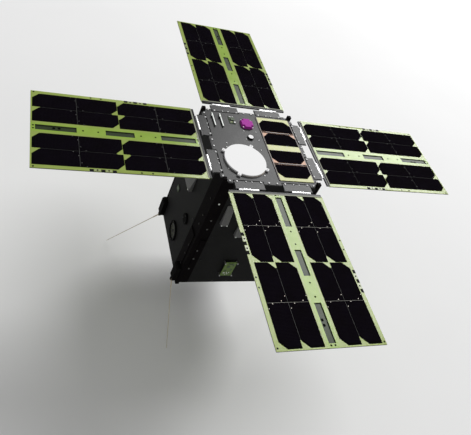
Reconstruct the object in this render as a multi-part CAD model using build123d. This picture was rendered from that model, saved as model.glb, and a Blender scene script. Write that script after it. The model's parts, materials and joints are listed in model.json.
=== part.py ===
from build123d import *
import os

# A cube satellite of twelve units with four unfolded solar wings.
# Millimetres. Z points out of the deck that carries the patch antenna, X to the right wing,
# and Y to the back wing. The origin is the middle of the plane that the four rail feet end in.

# Bus
bus_w = 226.3            # over two opposite rails
hull_h = 352.0           # outside of the base plate to the top of the deck
foot_h = 7.0             # how far each rail runs on past the hull, at both ends
rail_edge = 8.5          # square bar at the corner of every rail
rail_round = 1.2         # rounding of the rail's outer edge
flange_x = 28.0          # wide rails: out to here on the front and back sides
flange_y = 43.0          # and on the left and right sides
band_h = 26.0            # shallow band round a wide rail at half height
band_deep = 1.0
strip_in = 4.0           # raised strip on a wide rail, in from the flange's two edges
strip_t = 1.5
strip_clear = 3.0        # strip's lower end to the antenna mount
skin_t = 3.0             # side panels and rail flanges
deck_t = 3.0
deck_chamfer = 14.0
foot_fit = 0.3           # slit between the deck and an upper rail foot
base_t = 6.0
frame_h = 8.0            # edge frame inside the deck
frame_w = 12.0
rail_hole_d = 2.5        # tapped hole in each lower foot
rail_hole_deep = 6.0

# Avionics stack, one closed mass on the base plate
stack_w = 184.0
stack_h = 298.0

# Wing hinges
axis_out = 130.7         # hinge axis from the middle of the bus
axis_drop = 1.5          # hinge axis below the deck's top
pin_d = 2.5
pin_fit = 0.05           # radial clearance in the wing's knuckles
knuckle_d = 4.8
knuckle_gap = 0.5        # knuckle to the plate that faces it
bracket_l = 67.0         # along the edge of the deck
bracket_mid = 55.0       # middle of a bracket from the middle of the side
bracket_in = 106.6       # inner edge of a bracket from the middle of the bus
bracket_t = 3.0
bracket_chamfer = 0.8    # outer edges of its top
bracket_fit = 0.9        # slit between a bracket and the deck
fixed_knuckle_l = 34.0
wing_knuckle_l = 10.0
knuckle_play = 0.3       # along the pin
tab_over = 0.9           # wing knuckle's tab above the underside of the knuckle

# Wings
wing_w = 213.8
wing_l = 335.5
board_t = 2.0
cell_t = 0.5
bar_inset = 1.9          # ends of the root bar to the long edges of the board
bar_deep = 5.4           # root bar, along the wing
bar_t = 3.0
lip_l = 10.0             # lip of the bar below the board
plate_t = 1.0            # lip and spine plate below the board
spine_plate_w = 26.0
spine_plate_end = 8.0    # spine plate's end to the tip of the wing
window_w = 14.0          # windows in the board over the spine plate
pad_deep = 5.5
pad_l = 7.5

# Cells
cell_w = 40.0
cell_l = 80.0
cell_crop = 13.0         # cropped corners
diode_gap = 1.4          # cropped corner to the diode in it
cell_gap_x = 2.2
cell_gap_in = 2.0        # between the two cells of a pair
cell_edge = 8.4          # outer column to the long edge
first_cell = 2.0         # root of the board to the first row
pair_gap = 3.0           # between pairs of rows

# Patch antenna, on a base disc with the same four ears
patch_base_d = 97.0
patch_base_t = 1.5
patch_d = 93.6
patch_t = 3.5
patch_x, patch_y = -47.5, -49.0
ear_w = 8.0
ear_reach = 54.0         # end of an ear from the middle of the patch
ear_turn = 60.0

# Solar board on the deck
deck_board_x0, deck_board_x1 = 18.0, 104.0
deck_board_y = 100.0
deck_board_t = 1.6
deck_cell_w = 38.0
deck_cell_t = 0.5
deck_cell_margin = 2.8   # long edge of the board to the cells
deck_cell_first = 8.7    # middle of the board to the first cell
deck_cell_gap = 6.3      # between the two cells of a half

# Camera hood, a cross with sloping walls on a square foot that is screwed down at its corners
hood_x, hood_y = -12.0, 70.5
hood_w = 30.0            # over two opposite arms, at their foot
hood_arm_w = 18.0
hood_h = 6.5
hood_slope = 12.0        # walls of the cross, from upright
hood_foot_w = 28.0
hood_foot_h = 2.5
hood_foot_chamfer = 3.0

# Sun sensor
button_x, button_y = -13.7, 27.0
button_d = 15.0
button_h = 4.0

# Upright fins beside the hood, each with a clip on its left
fin_t = 2.6
fin_y0, fin_y1 = 54.0, 96.0
fin_h = 4.0
clip_y = 86.0
clip_w = 2.4             # out from the fin
clip_l = 3.0
clip_over = 0.8          # clip above the fin

# Test connector on its own small board
plug_x, plug_y = -46.0, 81.0
plug_board_w, plug_board_l, plug_board_t = 14.0, 24.0, 1.2
plug_w, plug_l, plug_h = 8.0, 8.0, 4.0

# Rests for the folded wings, on the sides
rest_reach = 9.0         # lower end, out from the side
rest_lip = 1.5           # upper end, out from the side
rest_foot = 4.0          # upright face at the lower end

# Circuit module on the front side, held between four posts
module_mid = -2.0
module_w = 28.0
module_h = 53.0
module_down = 288.0      # middle below the deck's top
module_t = 1.6
module_off = 6.0
module_post_w = 3.0      # over the flats of a post
module_post_in = 3.0     # post to the end of the board
module_post_over = 2.5   # post past the face of the board

# Ports on the left side
port_y, port_down = 3.0, 302.0           # middle below the deck's top
port_d = 50.0
cap_y, cap_down = -33.0, 213.0
cap_d = 27.0
ring_wall = 5.0
ring_h = 4.0
lens_gap = 0.3
lens_h = 2.0
tile_y, tile_down = 65.0, 216.0
tile_w, tile_h, tile_t = 14.0, 12.0, 2.0

# Whip antennas at the base
rod_l = 165.0
rod_w = 1.8              # over the flats
sleeve_w = 3.0           # sleeve at the root of a rod, over the flats
sleeve_l = 20.0
rod_off = 7.9            # hinge of a rod, out from the side panel
rod_y = 100.0            # and along the side from its middle
rod_z = 3.4              # hinge of a rod above the feet's ends
rod_tilt = 45.0          # below the horizontal
hub_w = 5.0              # over the flats
hub_l = 3.4
hub_pin_d = 1.6
hub_pin_fit = 0.05       # radial clearance of the pin in the hub
cheek_t = 1.4            # cheeks of the antenna mount
cheek_gap = 0.3          # cheek to hub
cheek_w = 6.0
mount_h = 48.0
mount_low = 4.0          # mount's body above the base plate's underside
mount_edge = 2.0         # mount's end to the corner of the bus
mount_w = 22.0
mount_chamfer = 4.0      # upper outer edge

cut_past = 1.0           # how far an open cut is drawn past the edge that it opens

half = bus_w / 2
inner = half - skin_t
z_base = foot_h
z_top = foot_h + hull_h
z_under = z_top - deck_t
z_middle = foot_h + hull_h / 2
rail_l = hull_h + 2 * foot_h
axis_z = z_top - axis_drop
knuckle_r = knuckle_d / 2
bracket_out = axis_out - knuckle_r - knuckle_gap
bar_in = axis_out + knuckle_r + knuckle_gap
bar_out = bar_in + bar_deep
board_top = z_top - cell_t
board_low = board_top - board_t
plate_low = board_low - plate_t
mount_z = z_base + mount_low

os.makedirs("parts", exist_ok=True)


def block(x0, x1, y0, y1, z0, z1):
    """A box between two corners."""
    centre = Pos((x0 + x1) / 2, (y0 + y1) / 2, (z0 + z1) / 2)
    return centre * Box(abs(x1 - x0), abs(y1 - y0), abs(z1 - z0))


def post(x, y, z0, z1, d):
    """An upright round bar."""
    return Pos(x, y, (z0 + z1) / 2) * Cylinder(d / 2, z1 - z0)


def bar_along_x(x0, x1, y, z, d):
    """A round bar along X."""
    return Pos((x0 + x1) / 2, y, z) * Rot(0, 90, 0) * Cylinder(d / 2, abs(x1 - x0))


def prism(points, z0, z1):
    """An outline of straight lines, raised from z0 to z1."""
    outline = Polyline(*points, close=True)
    return Pos(0, 0, z0) * extrude(make_face(outline), amount=z1 - z0)


def turned(shape, angle):
    """The shape on another side of the bus, turned about Z."""
    return Rot(0, 0, angle) * shape


def save(shape, name):
    """One sub-part, written under its own name."""
    shape.label = name
    export_step(shape, "parts/" + name + ".step")


def save_group(shapes, name):
    """Like pieces on one body, written as one sub-part."""
    save(Compound(children=shapes), name)


# Sides of the bus: name and turn about Z from the front side, which faces -Y.
SIDES = [("front", 0), ("right", 90), ("back", 180), ("left", 270)]
# The two hinge brackets of a side: which way each lies from the middle of the side.
BRACKETS = (-1, 1)


def rail_flange(reach):
    """The flange of a wide rail on the back side, with a shallow band at half height and a strip below."""
    x0, x1 = half - reach, half - rail_edge
    band_low, band_top = z_middle - band_h / 2, z_middle + band_h / 2
    strip_low = mount_z + mount_h + strip_clear
    flange = block(x0, x1, inner, half, z_base, z_under)
    flange -= block(x0, x1, half - band_deep, half, band_low, band_top)
    return flange + block(x0 + strip_in, x1 - strip_in, half, half + strip_t, strip_low, band_low)


def rail(wide):
    """A corner rail at +X +Y, with a tapped hole in its lower foot, and flanges if it is a wide one."""
    bar = block(half - rail_edge, half, half - rail_edge, half, 0, rail_l)
    outer_edge = bar.edges().filter_by(Axis.Z).sort_by(SortBy.DISTANCE)[-1]
    body = fillet(outer_edge, rail_round)
    if wide:
        body += rail_flange(flange_x)
        body += mirror(rail_flange(flange_y), about=Plane(origin=(0, 0, 0), z_dir=(1, -1, 0)))
    middle = half - rail_edge / 2
    return body - post(middle, middle, 0, rail_hole_deep, rail_hole_d)


# Rails: name, turn about Z, wide or plain.
RAILS = [
    ("rail_back_right", 0, True),
    ("rail_back_left", 90, False),
    ("rail_front_left", 180, True),
    ("rail_front_right", 270, False),
]
for name, turn, wide in RAILS:
    save(turned(rail(wide), turn), name)

# Side panels between the rails. Seen from outside, the wide rail is on the left of the front and
# back panels, and on the right of the left and right panels.
for side, turn in SIDES:
    if side in ("front", "back"):
        x0, x1 = -half + flange_x, half - rail_edge
    else:
        x0, x1 = -half + rail_edge, half - flange_y
    save(turned(block(x0, x1, -half, -inner, z_base, z_under), turn), "side_panel_" + side)


def notched(shape, size, z0, z1):
    """A plate with a square taken out of each corner for the rail there."""
    for side, turn in SIDES:
        shape -= turned(block(half - size, half + cut_past, half - size, half + cut_past, z0, z1), turn)
    return shape


# The square frame that carries the deck and the hinge brackets, behind the side panels
frame_z = z_under - frame_h
hole = inner - frame_w
edge_frame = block(-inner, inner, -inner, inner, frame_z, z_under)
edge_frame -= block(-hole, hole, -hole, hole, frame_z, z_under)
save(notched(edge_frame, rail_edge, frame_z, z_under), "top_frame")

base = block(-inner, inner, -inner, inner, z_base, z_base + base_t)
save(notched(base, rail_edge, z_base, z_base + base_t), "base_plate")

stack = stack_w / 2
stack_z = z_base + base_t
save(block(-stack, stack, -stack, stack, stack_z, stack_z + stack_h), "avionics_stack")


def deck_plate():
    """The deck, with chamfered corners, a pocket for each bracket and a notch for each rail foot."""
    deck = block(-half, half, -half, half, z_under, z_top)
    deck = chamfer(deck.edges().filter_by(Axis.Z), deck_chamfer)
    deck = notched(deck, rail_edge + foot_fit, z_under, z_top)
    reach = bracket_l / 2 + bracket_fit
    for side, turn in SIDES:
        for way in BRACKETS:
            mid = way * bracket_mid
            y0, y1 = -half - cut_past, -bracket_in + bracket_fit
            pocket = block(mid - reach, mid + reach, y0, y1, z_under, z_top)
            deck -= turned(pocket, turn)
    return deck


save(deck_plate(), "deck_plate")


def hinge_bracket(way):
    """A bracket of the front side: a plate in the deck with the fixed knuckle, and the pin in it."""
    mid = way * bracket_mid
    plate = block(mid - bracket_l / 2, mid + bracket_l / 2, -bracket_out, -bracket_in, z_top - bracket_t, z_top)
    upper = plate.edges().group_by(Axis.Z)[-1]
    plate = chamfer(upper - upper.sort_by(Axis.Y)[-1:], bracket_chamfer)
    end = fixed_knuckle_l / 2
    tongue = block(mid - end, mid + end, -axis_out, -bracket_in, z_top - bracket_t, z_top)
    knuckle = bar_along_x(mid - end, mid + end, -axis_out, axis_z, knuckle_d)
    pin_end = mid + way * (end + knuckle_play + wing_knuckle_l)
    pin = bar_along_x(mid, pin_end, -axis_out, axis_z, pin_d)
    return plate + tongue + knuckle + pin


for side, turn in SIDES:
    save_group([turned(hinge_bracket(way), turn) for way in BRACKETS], "hinge_brackets_" + side)


# Pieces of a wing, drawn on the front side, where the wing runs towards -Y.
wing_root = -bar_out
wing_tip = wing_root - wing_l

# Windows over the spine plate: near and far end, from the root of the board.
WINDOWS = [(8.0, 83.0), (138.0, 195.5), (251.0, 327.0)]
# Pads in the long edges: side of the wing and distance from the root of the board.
PADS = [(-1, 104.0), (-1, 125.0), (-1, 145.5), (1, 187.0), (1, 208.0), (1, 229.0)]


def pad(side, along):
    """A rubber pad that fills a notch in a long edge."""
    x0 = side * (wing_w / 2 - pad_deep)
    middle = wing_root - along
    return block(x0, side * wing_w / 2, middle - pad_l / 2, middle + pad_l / 2, board_low, z_top)


def wing_board():
    """The circuit board that carries the cells."""
    board = block(-wing_w / 2, wing_w / 2, wing_tip, wing_root, board_low, board_top)
    for near, far in WINDOWS:
        board -= block(-window_w / 2, window_w / 2, wing_root - far, wing_root - near, board_low, board_top)
    for side, along in PADS:
        board -= pad(side, along)
    return board


# Columns of cells: left edge from the middle of the wing.
column_out = wing_w / 2 - cell_edge - cell_w
column_in = column_out - cell_gap_x - cell_w
COLUMNS = [-column_out - cell_w, -column_in - cell_w, column_in, column_out]
# Rows of cells: near edge from the root of the board, and the side of the cropped corners.
row_step = cell_l + cell_gap_in
pair_step = row_step + cell_l + pair_gap
ROWS = [
    (first_cell, 1),
    (first_cell + row_step, -1),
    (first_cell + pair_step, 1),
    (first_cell + pair_step + row_step, -1),
]


def cell_and_diode(x0, y_near, side):
    """A cell with two cropped corners on one long side, and the diode in one of them."""
    far = y_near - cell_l
    cropped_x = x0 + cell_w if side > 0 else x0
    plain_x = x0 if side > 0 else x0 + cell_w
    inset_x = cropped_x - side * cell_crop
    outline = [
        (plain_x, y_near),
        (inset_x, y_near),
        (cropped_x, y_near - cell_crop),
        (cropped_x, far + cell_crop),
        (inset_x, far),
        (plain_x, far),
    ]
    corner_y = far if side > 0 else y_near
    leg = side * (cell_crop - diode_gap)
    diode = [(cropped_x, corner_y), (cropped_x - leg, corner_y), (cropped_x, corner_y + leg)]
    return [prism(outline, board_top, z_top), prism(diode, board_top, z_top)]


def wing_cells():
    """All cells and diodes of a wing."""
    pieces = []
    for near, side in ROWS:
        for x0 in COLUMNS:
            pieces += cell_and_diode(x0, wing_root - near, side)
    return pieces


def wing_knuckle(way):
    """A knuckle of the wing and its tab, on the outer end of a bracket's pin."""
    x0 = way * (bracket_mid + fixed_knuckle_l / 2 + knuckle_play)
    x1 = x0 + way * wing_knuckle_l
    tab = block(x0, x1, -bar_in, -axis_out, axis_z - knuckle_r + tab_over, z_top)
    return tab + bar_along_x(x0, x1, -axis_out, axis_z, knuckle_d)


def wing_frame():
    """The root bar with its lip, the spine plate, and the two knuckles that turn on the pins."""
    bar = wing_w / 2 - bar_inset
    spine = spine_plate_w / 2
    frame = block(-bar, bar, -bar_out, -bar_in, z_top - bar_t, z_top)
    frame += block(-bar, bar, -bar_out - lip_l, -bar_in, plate_low, board_low)
    frame += block(-spine, spine, wing_tip + spine_plate_end, -bar_out, plate_low, board_low)
    for way in BRACKETS:
        frame += wing_knuckle(way)
    return frame - bar_along_x(-bar, bar, -axis_out, axis_z, pin_d + 2 * pin_fit)


board = wing_board()
cells = wing_cells()
frame = wing_frame()
for side, turn in SIDES:
    save(turned(board, turn), "wing_board_" + side)
    save_group([turned(cell, turn) for cell in cells], "wing_cells_" + side)
    save(turned(frame, turn), "wing_frame_" + side)
    save_group([turned(pad(*row), turn) for row in PADS], "wing_pads_" + side)


def eared_disc(d, z0, z1):
    """A disc round the middle of the patch antenna, with its four ears."""
    disc = post(0, 0, z0, z1, d)
    ears = block(-ear_reach, ear_reach, -ear_w / 2, ear_w / 2, z0, z1)
    disc += turned(ears, ear_turn)
    disc += turned(ears, ear_turn + 90)
    return Pos(patch_x, patch_y, 0) * disc


patch_z = z_top + patch_base_t
save(eared_disc(patch_base_d, z_top, patch_z), "patch_base")
save(eared_disc(patch_d, patch_z, patch_z + patch_t), "patch_antenna")

deck_board_top = z_top + deck_board_t
solar_board = block(deck_board_x0, deck_board_x1, -deck_board_y, deck_board_y, z_top, deck_board_top)
save(solar_board, "deck_solar_board")


def deck_cell(near, way):
    """A cell on the deck, with its two cropped corners on the side away from the middle."""
    x0 = deck_board_x0 + deck_cell_margin
    x1 = deck_board_x1 - deck_cell_margin
    far = near + deck_cell_w
    outline = [(x0, near), (x0, far - cell_crop), (x0 + cell_crop, far)]
    outline += [(x1 - cell_crop, far), (x1, far - cell_crop), (x1, near)]
    outline = [(x, way * y) for x, y in outline]
    return prism(outline, deck_board_top, deck_board_top + deck_cell_t)


second_cell = deck_cell_first + deck_cell_w + deck_cell_gap
deck_cells = [deck_cell(near, way) for way in (-1, 1) for near in (deck_cell_first, second_cell)]
save_group(deck_cells, "deck_solar_cells")


def camera_hood():
    """The hood's foot and the cross on it, whose arms leave the corners free for the screws."""
    reach = hood_foot_w / 2
    foot = block(-reach, reach, -reach, reach, z_top, z_top + hood_foot_h)
    foot = chamfer(foot.edges().filter_by(Axis.Z), hood_foot_chamfer)
    arms = extrude(Pos(0, 0, z_top) * Rectangle(hood_w, hood_arm_w), amount=hood_h, taper=hood_slope)
    cross = arms + turned(arms, 90)
    return Pos(hood_x, hood_y, 0) * (foot + cross)


save(camera_hood(), "camera_hood")

save(post(button_x, button_y, z_top, z_top + button_h, button_d), "sun_sensor")

# Middles of the fins in X.
FINS = [-91.5, -73.0]


def fin(x):
    """An upright fin and the clip that holds it."""
    left, right = x - fin_t / 2, x + fin_t / 2
    clip_y0, clip_y1 = clip_y - clip_l / 2, clip_y + clip_l / 2
    blade = block(left, right, fin_y0, fin_y1, z_top, z_top + fin_h)
    return blade + block(left - clip_w, right, clip_y0, clip_y1, z_top, z_top + fin_h + clip_over)


save_group([fin(x) for x in FINS], "antenna_fins")


def pedestal(x, y, w, length, z0, h):
    """A box that stands at a place on the deck."""
    return block(x - w / 2, x + w / 2, y - length / 2, y + length / 2, z0, z0 + h)


connector = pedestal(plug_x, plug_y, plug_board_w, plug_board_l, z_top, plug_board_t)
connector += pedestal(plug_x, plug_y, plug_w, plug_l, z_top + plug_board_t, plug_h - plug_board_t)
save(connector, "test_connector")

# Rests on a side, columns: middle across, upper end below the deck's top, height, width.
NARROW_RESTS = [(-68.5, 70.0, 58.0, 17.0), (-19.0, 122.0, 44.0, 24.0)]
WIDE_RESTS = [(-26.0, 96.0, 54.0, 64.0)]
RESTS = {"front": NARROW_RESTS, "right": WIDE_RESTS, "back": NARROW_RESTS, "left": WIDE_RESTS}


def rest(middle, down, height, width):
    """A wedge on the front side that stands out further towards its lower end."""
    z1 = z_top - down
    z0 = z1 - height
    outline = [(-half, z1), (-half - rest_lip, z1), (-half - rest_reach, z0 + rest_foot)]
    outline += [(-half - rest_reach, z0), (-half, z0)]
    wedge = extrude(Plane.YZ * make_face(Polyline(*outline, close=True)), amount=width)
    return Pos(middle - width / 2, 0, 0) * wedge


for side, turn in SIDES:
    save_group([turned(rest(*row), turn) for row in RESTS[side]], "wing_rest_" + side)

module_x0, module_x1 = module_mid - module_w / 2, module_mid + module_w / 2
module_z0, module_z1 = z_top - module_down - module_h / 2, z_top - module_down + module_h / 2
module_out = half + module_off + module_t
module = block(module_x0, module_x1, -module_out, -half - module_off, module_z0, module_z1)
save(module, "circuit_module")


def module_post(x, z):
    """A hexagonal post on the front side."""
    section = RegularPolygon(module_post_w / 2, 6, major_radius=False, rotation=30)
    return Pos(x, -half, z) * Rot(90, 0, 0) * extrude(section, amount=module_out + module_post_over - half)


post_off = module_post_w / 2
post_xs = (module_x0 - post_off, module_x1 + post_off)
post_zs = (module_z0 + module_post_in, module_z1 - module_post_in)
save_group([module_post(x, z) for x in post_xs for z in post_zs], "module_posts")


def side_disc(y, z, d, reach):
    """A disc on the left side."""
    return Pos(-half - reach / 2, y, z) * Rot(0, 90, 0) * Cylinder(d / 2, reach)


# The main port is a ring with a lens in it, and the small one is a plain cap.
port_bore = port_d - 2 * ring_wall
ring = side_disc(port_y, z_top - port_down, port_d, ring_h)
ring -= side_disc(port_y, z_top - port_down, port_bore, ring_h)
cap = side_disc(cap_y, z_top - cap_down, cap_d, ring_h)
save_group([ring, cap], "port_rings")
save(side_disc(port_y, z_top - port_down, port_bore - 2 * lens_gap, lens_h), "port_lenses")

tile = Pos(-half - tile_t / 2, tile_y, z_top - tile_down) * Box(tile_t, tile_w, tile_h)
save(tile, "side_sensor")


# Whip antennas. Each rod turns in an upright plane about a pin in its mount, from its splayed
# place to flat along the base. The hinge is drawn at the origin with its pin along X.
pin_half = hub_l / 2 + cheek_gap + cheek_t
rod_x = half + rod_off


def fork():
    """Two cheeks with the pin between them, up to the underside of the mount."""
    shape = bar_along_x(-pin_half, pin_half, 0, 0, hub_pin_d)
    for way in (-1, 1):
        near = way * (hub_l / 2 + cheek_gap)
        shape += block(near, way * pin_half, -cheek_w / 2, cheek_w / 2, -cheek_w / 2, mount_z - rod_z)
    return shape


def eight_sided(plane, width, start, end):
    """A bar of eight flats along a plane's normal, between two distances from its origin."""
    section = RegularPolygon(width / 2, 8, major_radius=False, rotation=22.5)
    return plane * Pos(0, 0, start) * extrude(section, amount=end - start)


def antenna_rod():
    """A hub on the pin, with a sleeve and a thinner rod that point to +Y and down."""
    along = Plane(origin=(0, 0, 0), x_dir=(1, 0, 0), z_dir=Vector(0, 1, 0).rotate(Axis.X, -rod_tilt))
    body = eight_sided(Plane.YZ, hub_w, -hub_l / 2, hub_l / 2)
    body += eight_sided(along, sleeve_w, 0, sleeve_l) + eight_sided(along, rod_w, sleeve_l, rod_l)
    return body - bar_along_x(-hub_l, hub_l, 0, 0, hub_pin_d + 2 * hub_pin_fit)


def antenna_mount(y, hinge):
    """A block on the right side, with the fork below it."""
    y_far = half - mount_edge if y > 0 else mount_edge - half
    y_near = y_far - mount_w if y > 0 else y_far + mount_w
    body = block(half, rod_x + pin_half, y_near, y_far, mount_z, mount_z + mount_h)
    corner = body.edges().filter_by(Axis.Y).sort_by(Axis.Z)[-2:].sort_by(Axis.X)[-1]
    return chamfer(corner, mount_chamfer) + hinge * fork()


# Antennas, drawn on the right side and repeated half a turn away.
# Columns: name, turn about Z, place along the side, turn of the hinge about its own upright.
ANTENNAS = [
    ("back_right", 0, rod_y, 0),
    ("front_right", 0, -rod_y, -90),
    ("front_left", 180, rod_y, 0),
    ("back_left", 180, -rod_y, -90),
]
for name, turn, y, hinge_turn in ANTENNAS:
    hinge = Pos(rod_x, y, rod_z) * Rot(0, 0, hinge_turn)
    save(turned(hinge * antenna_rod(), turn), "antenna_rod_" + name)
    save(turned(antenna_mount(y, hinge), turn), "antenna_mount_" + name)
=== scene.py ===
# %% [markdown]
# # A small satellite with four solar wings
#
# The satellite is a black-railed box with a grey deck. Four hinged wings stand out level with
# the deck and carry dark solar cells on pale green boards. The CAD solids give every size and
# place, and this lesson gives them their looks: rounded edges, finishes, and the small
# hardware that the solids leave out.
#
# The first step loads the solids as a fixed frame. Each solid keeps its place in its own
# vertices, so a new piece can be drawn straight in the satellite's frame.
# %% Load the solids
import json
import math

import bmesh
import bpy
from mathutils import Matrix, Vector


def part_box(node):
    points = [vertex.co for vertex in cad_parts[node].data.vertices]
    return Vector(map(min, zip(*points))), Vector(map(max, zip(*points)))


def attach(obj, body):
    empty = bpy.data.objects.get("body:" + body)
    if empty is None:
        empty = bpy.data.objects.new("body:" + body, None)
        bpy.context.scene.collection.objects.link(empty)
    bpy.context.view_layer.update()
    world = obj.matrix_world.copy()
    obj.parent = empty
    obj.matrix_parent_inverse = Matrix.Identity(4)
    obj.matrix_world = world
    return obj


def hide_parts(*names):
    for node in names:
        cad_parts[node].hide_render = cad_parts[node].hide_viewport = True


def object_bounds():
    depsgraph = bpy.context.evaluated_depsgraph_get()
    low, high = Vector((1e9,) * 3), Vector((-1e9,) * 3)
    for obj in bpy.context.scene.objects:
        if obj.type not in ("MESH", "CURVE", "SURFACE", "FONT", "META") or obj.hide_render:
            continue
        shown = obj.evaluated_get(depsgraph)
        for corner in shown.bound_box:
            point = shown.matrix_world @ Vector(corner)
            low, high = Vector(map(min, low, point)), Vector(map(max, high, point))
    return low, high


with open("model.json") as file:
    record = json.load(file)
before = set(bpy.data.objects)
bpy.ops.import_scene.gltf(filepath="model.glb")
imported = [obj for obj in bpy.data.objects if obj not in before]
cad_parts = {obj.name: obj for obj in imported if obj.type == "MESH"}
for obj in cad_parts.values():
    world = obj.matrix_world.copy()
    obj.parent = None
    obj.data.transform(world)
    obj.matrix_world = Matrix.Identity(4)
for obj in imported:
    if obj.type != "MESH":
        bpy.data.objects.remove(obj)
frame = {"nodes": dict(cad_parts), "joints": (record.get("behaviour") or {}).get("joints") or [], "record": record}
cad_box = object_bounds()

print("solids:", len(frame["nodes"]), "box:", [round(v, 4) for corner in cad_box for v in corner])

# %% [markdown]
# ## Measures
# A workshop drawing of a thing this size is in millimetres, so pieces are drawn in
# millimetres here and scaled to metres once, when they are finished. The main levels are
# read from the solids, so that the trim follows them.
# %% Levels and sides
MM = 0.001


def box_mm(node):
    """Lowest and highest corner of a solid, in millimetres."""
    return [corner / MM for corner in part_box(node)]


def middle_mm(node):
    """The middle of a solid's box, in millimetres."""
    low, high = box_mm(node)
    return (low + high) / 2


deck_high = box_mm("deck_plate")[1]
half, z_top = deck_high.x, deck_high.z
z_base = box_mm("base_plate")[0].z
board_low, board_high = box_mm("wing_board_front")
wing_root, wing_tip, board_top = board_high.y, board_low.y, board_high.z

# Each side is the front side turned about the upright axis.
SIDES = {"front": 0, "right": 90, "back": 180, "left": 270}
print(f"deck at {z_top:.1f}, wings from {-wing_root:.1f} to {-wing_tip:.1f} mm out")


def turned(side):
    """The turn that takes a piece drawn on the front side to another side."""
    return Matrix.Rotation(math.radians(SIDES[side]), 4, "Z")


def upright(x, y, z, turn=0):
    """A place whose own Z points up."""
    return Matrix.Translation((x, y, z)) @ Matrix.Rotation(math.radians(turn), 4, "Z")


def on_front(x, down, out=half):
    """A place on the front side, at a depth below the deck, whose own Z points outwards."""
    return Matrix.Translation((x, -out, z_top - down)) @ Matrix.Rotation(math.radians(90), 4, "X")

# %% [markdown]
# ## Shader maths
# A finish is a small network of shader nodes. Written out node by node, a formula of three
# terms takes a page, so this class wraps a node's output and lets Python's own operators add
# the Math nodes. Colours never pass through it, because a Math node would turn them grey.
# %% A wire
def operator(operation):
    """The method that one of Python's operators calls."""
    return lambda wire, other: wire.math(operation, other)


class Wire:
    """The output of a shader node, on which operators add Math nodes."""

    def __init__(self, paint, socket):
        self.paint = paint
        self.socket = socket

    def math(self, operation, *others):
        """A Math node that takes this output first."""
        values = dict(enumerate((self, *others)))
        return self.paint.node("ShaderNodeMath", {"operation": operation}, values)

    def __rsub__(self, other):
        return self.math("MULTIPLY_ADD", -1, other)

    def __abs__(self):
        return self.math("ABSOLUTE")

    __add__ = __radd__ = operator("ADD")
    __sub__ = operator("SUBTRACT")
    __mul__ = __rmul__ = operator("MULTIPLY")
    __mod__ = operator("FLOORED_MODULO")
    __lt__ = operator("LESS_THAN")
    __gt__ = operator("GREATER_THAN")

# %% [markdown]
# The nodes come from a paint pot, which is a material in the making. One method adds any
# node, and short ones name those that are used often: noise, a blend of two colours, a bump.
# %% A paint pot that makes nodes
finishes = {}


def colour(value):
    """Red, green and blue from 0 to 1, or one number for a grey. A wire stays a wire."""
    if isinstance(value, Wire):
        return value
    return (*value, 1) if isinstance(value, tuple) else (value, value, value, 1)


class Paint:
    """A material in the making, with one method that adds any node."""

    def __init__(self, name):
        self.name = name
        self.material = bpy.data.materials.new(name)
        self.material.use_nodes = True
        self.tree = self.material.node_tree
        self.shader = self.tree.nodes["Principled BSDF"]
        self.place = self.node("ShaderNodeTexCoord", {}, {}, "Object")

    def feed(self, socket, value):
        if isinstance(value, Wire):
            self.tree.links.new(value.socket, socket)
        else:
            socket.default_value = value

    def node(self, kind, settings, values, output=0):
        """Sets the node's settings first, then the values or links of its sockets."""
        made = self.tree.nodes.new(kind)
        for name, value in settings.items():
            setattr(made, name, value)
        for name, value in values.items():
            self.feed(made.inputs[name], value)
        return Wire(self, made.outputs[output])

    def axes(self):
        """The three coordinates of the point that is shaded, in metres."""
        split = self.node("ShaderNodeSeparateXYZ", {}, {0: self.place}).socket.node
        return [Wire(self, output) for output in split.outputs]

    def noise(self, size, detail=2.0, stretch=(1, 1, 1)):
        """Cloudy noise with features of a size in millimetres, round one half."""
        place = self.node("ShaderNodeMapping", {}, {"Vector": self.place, "Scale": stretch})
        values = {"Vector": place, "Scale": 1 / (size * MM), "Detail": detail}
        return self.node("ShaderNodeTexNoise", {}, values)

    def slope(self, value, start, end):
        """0 up to start, 1 from end on, and straight between them."""
        return self.node("ShaderNodeMapRange", {}, {0: value, 1: start, 2: end})

    def blend(self, first, second, share):
        """One colour turning into another."""
        values = {0: share, 6: colour(first), 7: colour(second)}
        return self.node("ShaderNodeMix", {"data_type": "RGBA"}, values, 2)

    def bump(self, height, depth):
        """A normal from a height of 0 to 1 that stands for a depth in millimetres."""
        return self.node("ShaderNodeBump", {}, {"Height": height, "Distance": depth * MM})

    def shade(self, sockets):
        """Feeds the shader's own sockets, and keeps the material under its name."""
        for name, value in sockets.items():
            self.feed(self.shader.inputs[name], value)
        finishes[self.name] = self.material
        print("finish:", self.name, "with", len(self.tree.nodes), "nodes")

# %% [markdown]
# ## Metal finishes
# The rails, panels and mounts are anodised: a dyed oxide layer that is a little rough, with
# a fine grain and soft cloudy differences. The deck has a speckled conversion coat. One
# function can make all of these from a colour, a grain, a roughness and a shine. The shine is
# the strength of the clear gloss on top, which on a black dye decides how black it looks.
# %% Anodised and coated metal
CLOUD_SIZE, GRAIN_DEPTH = 40, 0.01  # millimetres
SPECKLE, CONTRAST = 0.75, (0.36, 0.64)  # the grain's share against the clouds, and its range
GLOSS_SPREAD = 0.16


def coated(name, dark, light, grain, rough, shine):
    """A coated metal: clouds and a fine grain between a dark and a light colour."""
    paint = Paint(name)
    speckle = paint.noise(grain, detail=3)
    cloud = paint.noise(CLOUD_SIZE, detail=3)
    share = paint.slope(speckle * SPECKLE + cloud * (1 - SPECKLE), *CONTRAST)
    paint.shade({
        "Base Color": paint.blend(dark, light, share),
        "Roughness": rough - GLOSS_SPREAD / 2 + GLOSS_SPREAD * cloud,
        "Specular IOR Level": shine,
        "Normal": paint.bump(speckle, GRAIN_DEPTH),
    })


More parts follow.
